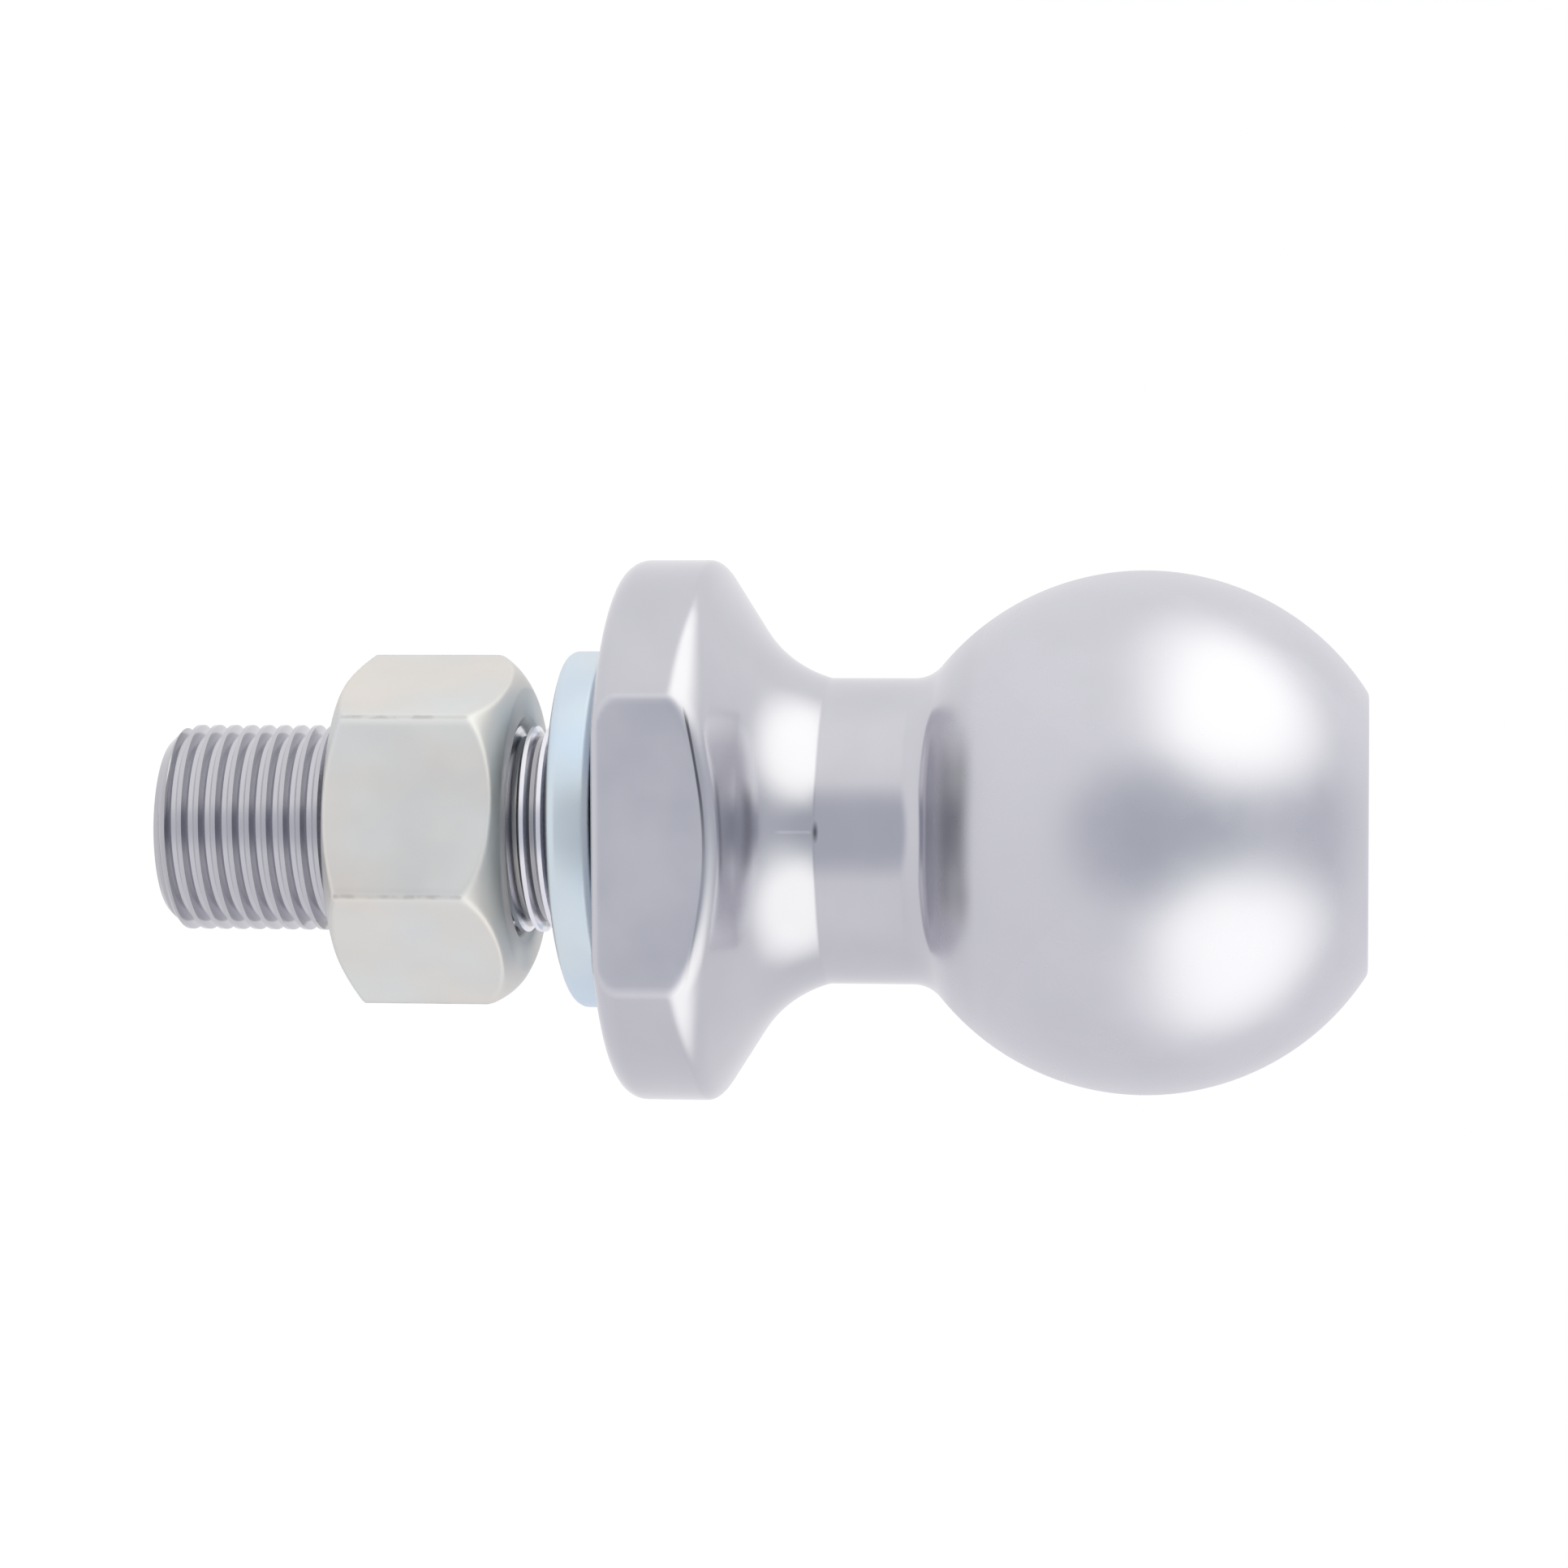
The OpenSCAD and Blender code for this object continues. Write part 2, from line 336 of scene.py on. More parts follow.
    # Below the ball the plate is a shade greyer, least on the neck and not on the flats
    on_neck = add_node(tree, RANGE, [z, NECK_FOOT * MM, NECK_TURNED * MM], **SMOOTH)
    greyer = 0.91
    for part, lighter in ((on_neck, 0.02), (on_ball, 0.07), (on_flat, 0.09)):
        greyer = add_node(tree, MATH, [part, lighter, greyer], operation="MULTIPLY_ADD")
    shade_and_tone = add_node(tree, MATH, [shade_and_tone, greyer], operation="MULTIPLY")
    # A thin dark line of painted shade along the flat's rim on the flare's side, where the flat
    # meets the crest's round, strongest towards -X
    rim_shadow_fade = add_node(tree, RANGE, [x, 5 * MM, -5 * MM, 0.12, 0.72], **SMOOTH)
    off_edge = add_node(tree, MATH, [from_edge], operation="ABSOLUTE")
    rim = add_node(tree, RANGE, [off_edge, 0.3 * MM, 0.08 * MM], **SMOOTH)
    rim = add_node(tree, MATH, [rim, on_face], operation="MULTIPLY")
    painted_rim_shadow = add_node(tree, MATH, [rim, rim_shadow_fade], operation="MULTIPLY")
    beside_rim_shadow = add_node(tree, MATH, [1.0, painted_rim_shadow], operation="SUBTRACT")
    shade_and_tone = add_node(tree, MATH, [shade_and_tone, beside_rim_shadow], operation="MULTIPLY")
    # The forging's parting line was dressed away but for a bright streak that runs to the pit
    streak = add_node(tree, RANGE, [aside, 0.2 * MM, 0.05 * MM], **SMOOTH)
    for place, start, full in ((z, 15.4, 16.2), (z, 18.8, 18.4), (y, 0.0, -1.0)):
        within = add_node(tree, RANGE, [place, start * MM, full * MM], **SMOOTH)
        streak = add_node(tree, MATH, [streak, within], operation="MULTIPLY")
    share = add_node(tree, MATH, [streak, 0.4], operation="MULTIPLY")
    bright = add_node(tree, MIX, {0: share, 6: tint, 7: linear("#F4F4F6")}, **COLOUR)
    # The pit, the painted shade and the greyer tone darken the colour together
    pit_and_shade = add_node(tree, MATH, [pit, shade_and_tone], operation="MULTIPLY")
    pitted_and_shaded = add_node(tree, MIX, {0: 1.0, 6: bright.outputs[2], 7: pit_and_shade}, **TIMES)
    tree.links.new(pitted_and_shaded.outputs[2], shader.inputs["Base Color"])
    tree.links.new(turned.outputs["Normal"], shader.inputs["Normal"])
    return material


def chrome_thread(colours):
    """Chrome on a rolled thread, whose crests are greyed a little by handling, with painted light
    on the crests next to the washer.
    """
    material, tree, shader, tint, where = satin_steel(
        "rolled_thread_chrome",
        list(colours.chrome_thread),
        dark=0.95,
        roughness=0.16,
        grain_mm=0.25,
        relief_mm=0.0006,
    )
    level = add_node(tree, VECTOR_MATH, [where, LEVEL], operation="MULTIPLY")
    radius = add_node(tree, VECTOR_MATH, [level], operation="LENGTH")
    groove = add_node(tree, RANGE, [radius.outputs["Value"], 9.2 * MM, 8.9 * MM], **SMOOTH)
    plate = add_node(tree, MATH, [groove, 0.05, 0.75], operation="MULTIPLY_ADD")
    # Next to the washer the crests are painted lighter, against the shade that the nut and the
    # washer cast there, and the grooves are darker
    height = add_node(tree, "ShaderNodeSeparateXYZ", [where]).outputs["Z"]
    beside_washer = add_node(tree, RANGE, [height, -11 * MM, -9 * MM], **SMOOTH)
    crest_light_and_groove_tone = add_node(tree, MATH, [groove, -0.65, 0.4], operation="MULTIPLY_ADD")
    plate = add_node(tree, MATH, [beside_washer, crest_light_and_groove_tone, plate], operation="MULTIPLY_ADD")
    # The sawn end took little plate, so it is duller than the thread
    sawn = add_node(tree, RANGE, [height, -40.9 * MM, -41.7 * MM], **SMOOTH)
    plate = add_node(tree, MATH, [sawn, -0.12, plate], operation="MULTIPLY_ADD")
    depth = add_node(tree, MIX, {0: 1.0, 6: tint, 7: plate}, **TIMES)
    tree.links.new(depth.outputs[2], shader.inputs["Base Color"])
    return material


def zinc_plate(name, base, warm, cool, roughness, edge=None):
    """Electroplated zinc: dull and milky, with faint warm and greenish passivation clouds.

    Beyond the edge's radius, where corners rub in the barrel, the plate is darker.
    """
    material, tree, shader, tint, where = satin_steel(
        name, base, dark=0.95, roughness=roughness, grain_mm=0.22, relief_mm=0.004
    )
    # Clouds of the passivation about 12 mm across
    clouds = add_node(tree, NOISE, {"Vector": where, "Scale": 1 / (12 * MM), "Detail": 2.0})
    share = add_node(tree, RANGE, [clouds, 0.35, 0.65])
    hue = add_node(tree, MIX, {0: share, 6: linear(warm), 7: linear(cool)}, **COLOUR)
    mixed = add_node(tree, MIX, {0: 1.0, 6: tint, 7: hue.outputs[2]}, **TIMES)
    if edge is not None:
        level = add_node(tree, VECTOR_MATH, [where, LEVEL], operation="MULTIPLY")
        radius = add_node(tree, VECTOR_MATH, [level], operation="LENGTH").outputs["Value"]
        corner = add_node(tree, RANGE, [radius, edge - 0.06 * MM, edge], **SMOOTH)
        # Rubbed here and there along the corner, over about 1.5 mm at a time
        rubbed = add_node(tree, NOISE, {"Vector": where, "Scale": 1 / (1.5 * MM), "Detail": 2.0})
        worn = add_node(tree, RANGE, [rubbed, 0.4, 0.6, 0.12, 0.26], **SMOOTH)
        worn = add_node(tree, MATH, [worn, corner], operation="MULTIPLY")
        unworn = add_node(tree, MATH, [1.0, worn], operation="SUBTRACT")
        mixed = add_node(tree, MIX, {0: 1.0, 6: mixed.outputs[2], 7: unworn}, **TIMES)
    tree.links.new(mixed.outputs[2], shader.inputs["Base Color"])
    return material


# Meshes from a rule in the radius


def soft_min(a, b, width):
    """The smaller of a and b, run together over a width."""
    near = np.maximum(width - np.abs(a - b), 0.0) / width
    return np.minimum(a, b) - near * near * width / 4


def hexagon_radius(angle, across_flats, corner_radius, turn):
    """Radius of a hexagon with rounded corners at each angle, a flat to the front at turn 0."""
    half_flat = across_flats / 2
    from_flat = np.abs((angle - turn) % (math.pi / 3) - math.pi / 6)
    centre = (half_flat - corner_radius) / math.cos(math.pi / 6)
    to_corner = math.pi / 6 - from_flat
    edge = math.atan((half_flat - corner_radius) * math.tan(math.pi / 6) / half_flat)
    flat = half_flat / np.cos(from_flat)
    inside = np.maximum(corner_radius**2 - (centre * np.sin(to_corner)) ** 2, 0.0)
    corner = centre * np.cos(to_corner) + np.sqrt(inside)
    return np.where(from_flat < edge, flat, corner)


def weld(mesh):
    """Merge the points of a mesh that fall together, and turn its faces outward."""
    shape = bmesh.new()
    shape.from_mesh(mesh)
    bmesh.ops.remove_doubles(shape, verts=shape.verts, dist=WELD)
    bmesh.ops.recalc_face_normals(shape, faces=shape.faces)
    shape.to_mesh(mesh)
    shape.free()


def add_object(name, data):
    """Put a new object in the scene."""
    thing = bpy.data.objects.new(name, data)
    bpy.context.scene.collection.objects.link(thing)
    return thing


def grid_mesh(name, radius, height, angle, closed_rows):
    """A mesh of rings: radius and height are rows by columns, angle is one per column."""
    rows, columns = radius.shape
    points = np.stack([radius * np.cos(angle), radius * np.sin(angle), height], axis=-1)
    around = np.arange(columns)
    last = rows if closed_rows else rows - 1
    faces = []
    for row in range(last):
        a = row * columns + around
        b = row * columns + (around + 1) % columns
        up = ((row + 1) % rows) * columns
        faces.append(np.stack([a, b, up + (around + 1) % columns, up + around], axis=-1))
    mesh = bpy.data.meshes.new(name)
    mesh.from_pydata(points.reshape(-1, 3).tolist(), [], np.concatenate(faces).tolist())
    weld(mesh)
    return mesh


def finish_piece(name, mesh, material, body):
    """Make an object of a mesh at the origin, shade it and let it ride on its body."""
    piece = add_object(name, mesh)
    mesh.materials.clear()
    mesh.materials.append(material)
    mesh.shade_smooth()
    mesh.set_sharp_from_angle(angle=math.radians(38))
    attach(piece, body)
    return piece


def forging_mesh(sizes):
    """Ball, neck, flare and collar: a turned radius, cut by the two spanner flats."""
    columns = 288
    front = sizes.collar_turn - math.pi / 2
    angle = front + np.arange(columns) * 2 * math.pi / columns
    ball_r, neck_r = sizes.ball_diameter / 2, sizes.neck_diameter / 2
    side_r, seat, crest = sizes.collar_diameter / 2, sizes.seat_round, sizes.crest_round
    slope = math.tan(sizes.flare_slope)
    # The hollow runs on from the flare's straight side and ends at a slight edge on the neck
    hollow = sizes.flare_hollow
    touch_r = neck_r + hollow * (math.cos(sizes.flare_end) - math.cos(sizes.flare_slope))
    touch_z = sizes.collar_height + (side_r - touch_r) / slope
    hollow_x = neck_r + hollow * math.cos(sizes.flare_end)
    hollow_z = touch_z + hollow * math.sin(sizes.flare_slope)
    neck_z = hollow_z - hollow * math.sin(sizes.flare_end)
    # Rows up the collar and flare, close together at the seat and where the flats end
    low = np.concatenate(
        [
            seat * (1 - np.cos(np.linspace(0, math.pi / 2, 10))),
            np.linspace(seat + 0.6 * MM, SIDE_TOP * MM, 6),
            np.linspace(RIM_FOOT * MM, touch_z, 46),
            np.linspace(touch_z, neck_z - 0.35 * MM, 16)[1:],
            [neck_z - 0.15 * MM, neck_z],
        ]
    )
    # The seat's round, the side and the hollow, and then the crest's round, wider by the flats
    facing = np.abs(np.cos(angle - front))
    beside = np.clip((facing - 0.56) / 0.3, 0.0, 1.0)
    rising = np.clip(seat - low, 0.0, seat)
    turned = np.select(
        [low < seat, low < touch_z],
        [side_r - seat + np.sqrt(seat**2 - rising**2), side_r],
        hollow_x - np.sqrt(np.maximum(hollow**2 - (hollow_z - low) ** 2, 0.0)),
    )
    flare = side_r - (low - sizes.collar_height) * slope
    rounded = soft_min(
        np.full_like(low, side_r)[:, None],
        flare[:, None],
        (crest * 0.85 + sizes.crest_widening * beside)[None, :],
    )
    on_crest = (low > SIDE_TOP * MM) & (low < touch_z)
    turned = np.where(on_crest[:, None], rounded, turned[:, None])
    # The flats, rounded a little at the seat
    facing = np.maximum(facing, 0.2)
    under = np.clip(sizes.flat_round - low, 0.0, sizes.flat_round)
    drawn_in = sizes.flat_round - np.sqrt(sizes.flat_round**2 - under**2)
    flats = (sizes.collar_flats / 2 - drawn_in)[:, None] / facing[None, :]
    climb = (low - RIM_FOOT * MM) / ((RIM_HEAD - RIM_FOOT) * MM)
    climb = np.clip(climb, 0.0, 1.0)[:, None]
    width = sizes.side_softness + (sizes.crest_softness - sizes.side_softness) * climb
    radius = soft_min(turned, flats, width)
    height = np.repeat(low[:, None], columns, axis=1)
    # The seat, from the middle out
    under = np.array([0.0, 0.35, 0.7, 0.9, 0.97])[:, None] * radius[0][None, :]
    # Neck, hollow, ball and flat, which are turned all round
    join = sizes.neck_hollow
    join_x = neck_r + join
    join_z = sizes.ball_height - math.sqrt((ball_r + join) ** 2 - join_x**2)
    lean = math.atan2(sizes.ball_height - join_z, join_x)
    top_r = sizes.top_flat / 2
    edge = sizes.top_edge
    # The rounded rim touches the ball and the flat from inside
    top_z = sizes.ball_height + math.sqrt(ball_r**2 - top_r**2)
    rim_z = top_z - edge
    rim_x = math.sqrt((ball_r - edge) ** 2 - (rim_z - sizes.ball_height) ** 2)
    rim_angle = math.atan2(rim_z - sizes.ball_height, rim_x)
    above = neck_z + 0.15 * MM
    neck = [(neck_r, z) for z in (above, above + 0.3 * MM, *np.linspace(above, join_z, 5)[1:])]
    bend = [
        (join_x - join * math.cos(a), join_z + join * math.sin(a))
        for a in np.linspace(0, lean, 14)[1:]
    ]
    ball = [
        (ball_r * math.cos(a), sizes.ball_height + ball_r * math.sin(a))
        for a in np.linspace(-lean, rim_angle, 76)[1:]
    ]
    rim = [
        (rim_x + edge * math.cos(a), rim_z + edge * math.sin(a))
        for a in np.linspace(rim_angle, math.pi / 2, 6)[1:]
    ]
    flat = [(rim_x * f, top_z) for f in (0.95, 0.7, 0.35, 0.0)]
    upper = np.array(neck + bend + ball + rim + flat)
    ones = np.ones((1, columns))
    radius = np.concatenate([under, radius, upper[:, :1] * ones])
    height = np.concatenate([0 * under, height, upper[:, 1:] * ones])
    return grid_mesh("forging", radius, height, angle, False)


def nut_mesh(sizes):
    """Hexagon nut: rounded over above, chamfered below, with a countersunk bore."""
    columns = 240
    angle = sizes.turn + np.arange(columns) * 2 * math.pi / columns
    high = sizes.height
    slope = math.radians(22)
    ring = sizes.crown_radius
    ring_x = sizes.crown / 2 - ring * math.sin(slope)
    ring_z = high - ring * math.cos(slope)
    rows = np.concatenate(
        [
            np.linspace(0, 2.2, 14) * MM,
            np.linspace(2.8, 11.4, 8) * MM,
            high - np.linspace(4.4, 0.9, 18) * MM,
            high - np.linspace(0.8, 0.0, 10) * MM,
        ]
    )
    crown = ring_x + np.sqrt(np.maximum(ring**2 - np.maximum(rows - ring_z, 0.0) ** 2, 0.0))
    foot = sizes.foot / 2 + rows / math.tan(math.radians(30))
    hexagon = hexagon_radius(angle, sizes.across_flats, sizes.corner_radius, sizes.turn)
    radius = soft_min(crown[:, None], hexagon[None, :], sizes.edge_softness)
    radius = soft_min(foot[:, None] + 0 * radius, radius, sizes.edge_softness)
    height = np.repeat(rows[:, None], columns, axis=1)
    bore, sink = sizes.bore / 2, sizes.countersink / 2
    inner = [
        (sink + 0.9 * MM, high),
        (sink + 0.15 * MM, high),
        (sink - 0.1 * MM, high - 0.08 * MM),
        (bore + 0.3 * MM, high - (sink - bore) + 0.3 * MM),
        (bore, high - (sink - bore)),
        (bore, high / 2),
        (bore, sink - bore),
        (bore + 0.3 * MM, sink - bore - 0.3 * MM),
        (sink - 0.1 * MM, 0.08 * MM),
        (sink + 0.15 * MM, 0.0),
        (sink + 0.9 * MM, 0.0),
    ]
    inner = np.array(inner)
    ones = np.ones((1, columns))
    radius = np.concatenate([radius, inner[:, :1] * ones])
    height = np.concatenate([height, inner[:, 1:] * ones])
    return grid_mesh("nut", radius, height + NUT_FOOT, angle, True)


# Geometry Nodes: the thread and the sprung ring


def new_tree(name, values):
    """A geometry tree with an input for each named value, and its inputs' sockets by name."""
    tree = bpy.data.node_groups.new(name, "GeometryNodeTree")
    tree.is_modifier = True
    for label, value in values.items():
        socket = tree.interface.new_socket(label, in_out="INPUT", socket_type="NodeSocketFloat")
        socket.default_value = value
    tree.interface.new_socket("Finish", in_out="INPUT", socket_type="NodeSocketMaterial")
    tree.interface.new_socket("Geometry", in_out="OUTPUT", socket_type="NodeSocketGeometry")
    given = add_node(tree, "NodeGroupInput")
    return tree, {socket.name: socket for socket in given.outputs}


def close_tree(tree, shape, finish):
    """End a tree: join instances into real geometry and give it its finish."""
    real = add_node(tree, "GeometryNodeRealizeInstances", [shape])
    dressed = add_node(tree, "GeometryNodeSetMaterial", {"Geometry": real, "Material": finish})
    add_node(tree, "NodeGroupOutput", [dressed])
    return tree


def thread_tree(values):
    """A grid wound round the axis, its rows running along the helix.

    The radius goes from crest to groove and back once in each pitch, less wherever the end
    chamfer or the collar cuts it short. Rows beyond an end fall together there and are merged.
    """
    tree, size = new_tree("Screw thread", values)
    rows_per_pitch, columns = 16, 96
    pitch, crest = size["Pitch"], size["Crest radius"]
    low, high = size["Low end"], size["High end"]
    span = add_node(tree, MATH, [high, low], operation="SUBTRACT")
    turns = add_node(tree, MATH, [span, pitch], operation="DIVIDE")
    turns = add_node(tree, MATH, [turns], operation="CEIL")
    turns = add_node(tree, MATH, [turns, 2.0], operation="ADD")
    rows = add_node(tree, MATH, [turns, float(rows_per_pitch)], operation="MULTIPLY")
    rows = add_node(tree, MATH, [rows, 1.0], operation="ADD")
    reach = add_node(tree, MATH, [turns, pitch], operation="MULTIPLY")
    grid = add_node(
        tree,
        "GeometryNodeMeshGrid",
        {"Vertices X": columns + 1, "Vertices Y": rows, "Size X": 1.0, "Size Y": reach},
    )
    position = add_node(tree, "GeometryNodeInputPosition")
    x, y, _ = add_node(tree, "ShaderNodeSeparateXYZ", [position]).outputs
    turn = add_node(tree, MATH, [x, 0.5], operation="ADD")
    angle = add_node(tree, MATH, [turn, 2 * math.pi], operation="MULTIPLY")
    # Distance along from the first row, then the phase of the thread there
    half = add_node(tree, MATH, [pitch, 0.5], operation="MULTIPLY")
    half = add_node(tree, MATH, [turns, half], operation="MULTIPLY")
    along = add_node(tree, MATH, [y, half], operation="ADD")
    phase = add_node(tree, MATH, [along, pitch], operation="DIVIDE")
    phase = add_node(tree, MATH, [phase, 0.0001], operation="ADD")
    phase = add_node(tree, MATH, [phase], operation="FRACT")
    off_crest = add_node(tree, MATH, [phase, 2.0], operation="MULTIPLY")
    off_crest = add_node(tree, MATH, [off_crest, 1.0], operation="SUBTRACT")
    off_crest = add_node(tree, MATH, [off_crest], operation="ABSOLUTE")
    # Flat over a quarter of the pitch at the crest, and a quarter in the groove
    cut = add_node(tree, RANGE, [off_crest, 0.25, 0.75])
    cut = add_node(tree, MATH, [cut, size["Depth"]], operation="MULTIPLY")
    radius = add_node(tree, MATH, [crest, cut], operation="SUBTRACT")
    # The rows climb a pitch in each turn, from below the low end, and none passes an end
    climb = add_node(tree, MATH, [turn, pitch], operation="MULTIPLY")
    height = add_node(tree, MATH, [along, climb], operation="ADD")
    start = add_node(tree, MATH, [pitch, 1.5], operation="MULTIPLY")
    start = add_node(tree, MATH, [low, start], operation="SUBTRACT")
    height = add_node(tree, MATH, [height, start], operation="ADD")
    height = add_node(tree, MATH, [height, low], operation="MAXIMUM")
    height = add_node(tree, MATH, [height, high], operation="MINIMUM")
    # The end chamfer, and a plain core that closes the top inside the collar
    end_radius = add_node(tree, MATH, [crest, size["Chamfer"]], operation="SUBTRACT")
    chamfer = add_node(tree, MATH, [height, low], operation="SUBTRACT")
    chamfer = add_node(tree, MATH, [end_radius, chamfer], operation="ADD")
    radius = add_node(tree, MATH, [radius, chamfer], operation="MINIMUM")
    groove_radius = add_node(tree, MATH, [crest, size["Depth"]], operation="SUBTRACT")
    core = add_node(tree, MATH, [high, height], operation="SUBTRACT")
    core = add_node(tree, MATH, [core, 4.0], operation="MULTIPLY")
    core = add_node(tree, MATH, [groove_radius, core], operation="ADD")
    radius = add_node(tree, MATH, [radius, core], operation="MINIMUM")
    point = []
    for wave in ("COSINE", "SINE"):
        share = add_node(tree, MATH, [angle], operation=wave)
        point.append(add_node(tree, MATH, [radius, share], operation="MULTIPLY"))
    point = add_node(tree, "ShaderNodeCombineXYZ", [*point, height])
    wound = add_node(tree, "GeometryNodeSetPosition", {"Geometry": grid, "Position": point})
    parts = add_node(tree, "GeometryNodeJoinGeometry")
    for end, cap_radius in ((low, end_radius), (high, groove_radius)):
        disc = add_node(
            tree,
            "GeometryNodeMeshCircle",
            {"Radius": cap_radius, "Vertices": columns},
            fill_type="TRIANGLE_FAN",
        )
        lift = add_node(tree, "ShaderNodeCombineXYZ", {"Z": end})
        moved = add_node(tree, "GeometryNodeTransform", {"Geometry": disc, "Translation": lift})
        tree.links.new(moved.outputs[0], parts.inputs[0])
    tree.links.new(wound.outputs[0], parts.inputs[0])
    merged = add_node(tree, "GeometryNodeMergeByDistance", {"Geometry": parts, "Distance": WELD})
    return close_tree(tree, merged, size["Finish"])


def ring_tree(values):
    """A rounded bar swept round most of one turn of a helix, with slanted split ends."""
    tree, size = new_tree("Sprung ring", values)
    mean = size["Mean radius"]
    open_part = add_node(tree, MATH, [mean, 2 * math.pi], operation="MULTIPLY")
    open_part = add_node(tree, MATH, [size["Split"], open_part], operation="DIVIDE")
    turns = add_node(tree, MATH, [1.0, open_part], operation="SUBTRACT")
    helix = add_node(
        tree,
        "GeometryNodeCurveSpiral",
        {
            "Start Radius": mean,
            "End Radius": mean,
            "Height": size["Rise"],
            "Rotations": turns,
            "Resolution": 180,
            "Reverse": True,
        },
    )
    factor = add_node(tree, "GeometryNodeSplineParameter")
    kept = add_node(
        tree,
        "GeometryNodeStoreNamedAttribute",
        {"Geometry": helix, "Value": factor.outputs["Factor"], "Name": "along"},
        data_type="FLOAT",
        domain="POINT",
    )
    upright = add_node(tree, "GeometryNodeSetCurveNormal", [kept], mode="Z_UP")
    bar = add_node(
        tree,
        "GeometryNodeCurvePrimitiveQuadrilateral",
        {"Width": size["Width"], "Height": size["Thickness"]},
    )
    rounded = add_node(
        tree,
        "GeometryNodeFilletCurve",
        {"Curve": bar, "Radius": size["Corner radius"], "Count": 7, "Limit Radius": True},
        mode="POLY",
    )
    sources = {"Curve": upright, "Profile Curve": rounded, "Fill Caps": True}
    swept = add_node(tree, "GeometryNodeCurveToMesh", sources)
    # The split's faces slope: a point turns about the axis by its height within the section
    along = add_node(tree, "GeometryNodeInputNamedAttribute", {"Name": "along"}, data_type="FLOAT")
    position = add_node(tree, "GeometryNodeInputPosition")
    z = add_node(tree, "ShaderNodeSeparateXYZ", [position]).outputs["Z"]
    climb = add_node(tree, MATH, [along, size["Rise"]], operation="MULTIPLY")
    within = add_node(tree, MATH, [z, climb], operation="SUBTRACT")
    lean = add_node(tree, MATH, [within, size["Split slope"]], operation="MULTIPLY")
    lean = add_node(tree, MATH, [lean, mean], operation="DIVIDE")
    half_open = add_node(tree, MATH, [open_part, math.pi], operation="MULTIPLY")
    angle = add_node(tree, MATH, [lean, half_open], operation="ADD")
    angle = add_node(tree, MATH, [angle, size["Split place"]], operation="ADD")
    sources = {"Vector": position, "Angle": angle}
    turned = add_node(tree, "ShaderNodeVectorRotate", sources, rotation_type="Z_AXIS")
    placed = add_node(tree, "GeometryNodeSetPosition", {"Geometry": swept, "Position": turned})
    half = add_node(tree, MATH, [size["Thickness"], 0.5], operation="MULTIPLY")
    down = add_node(tree, MATH, [size["Seat"], half], operation="SUBTRACT")
    down = add_node(tree, MATH, [down, size["Rise"]], operation="SUBTRACT")
    lift = add_node(tree, "ShaderNodeCombineXYZ", {"Z": down})
    seated = add_node(tree, "GeometryNodeTransform", {"Geometry": placed, "Translation": lift})
    bare = add_node(tree, "GeometryNodeRemoveAttribute", {"Geometry": seated, "Name": "along"})
    return close_tree(tree, bare, size["Finish"])


def grown_mesh(name, tree, values, finish):
    """Run a geometry tree with its inputs set by identifier, and return its plain mesh."""
    carrier = add_object(name + "_carrier", bpy.data.meshes.new(name + "_carrier"))
    modifier = carrier.modifiers.new(tree.name, "NODES")
    modifier.node_group = tree
    for item in tree.interface.items_tree:
        if item.item_type == "SOCKET" and item.in_out == "INPUT":
            modifier[item.identifier] = finish if item.name == "Finish" else values[item.name]
    carrier.update_tag()
    graph = bpy.context.evaluated_depsgraph_get()
    graph.update()
    mesh = bpy.data.meshes.new_from_object(carrier.evaluated_get(graph), depsgraph=graph)
    mesh.name = name
    bpy.data.objects.remove(carrier)
    weld(mesh)
    return mesh


class TOWBALL_OT_forging(bpy.types.Operator):
    """Build the chromed ball, neck, flare and round collar, and the threaded shank"""

    bl_idname = "towball.forging"
    bl_label = "Ball, collar and threaded shank"

    def execute(self, context):
        parts = context.scene.tow_ball_parts
        body = finish_piece(
            "forging",
            forging_mesh(parts.forging),
            chrome_forging(parts.finishes, parts.forging),
            "tow_ball",
        )
        sizes = parts.thread
        finish = chrome_thread(parts.finishes)
        values = {
            "Crest radius": sizes.crest_diameter / 2,
            "Pitch": sizes.pitch,
            "Depth": sizes.depth,
            "Low end": -sizes.end,
            "High end": THREAD_TOP,
            "Chamfer": sizes.end_chamfer,
        }
        mesh = grown_mesh("shank_thread", thread_tree(values), values, finish)
        shank = finish_piece("shank_thread", mesh, finish, "tow_ball")
        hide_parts("tow_ball")
        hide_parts("tow_ball")
        return {"FINISHED"}


class TOWBALL_OT_washer(bpy.types.Operator):
    """Build the split lock washer"""

    bl_idname = "towball.washer"
    bl_label = "Lock washer"

    def execute(self, context):
        parts = context.scene.tow_ball_parts
        sizes = parts.washer
        finish = zinc_plate(
            "blue_zinc_plate", list(parts.finishes.blue_zinc), "#FBFCFA", "#EEF6FF", 0.34
        )
        values = {
            "Mean radius": sizes.mean_diameter / 2,
            "Width": sizes.width,
            "Thickness": sizes.thickness,
            "Corner radius": sizes.corner,
            "Rise": sizes.rise,
            "Split": sizes.split,
            "Split slope": math.tan(sizes.split_slant),
            "Split place": sizes.split_place,
            "Seat": WASHER_TOP,
        }
        mesh = grown_mesh("washer_ring", ring_tree(values), values, finish)
        ring = finish_piece("washer_ring", mesh, finish, "lock_washer")
        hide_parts("lock_washer")
        return {"FINISHED"}


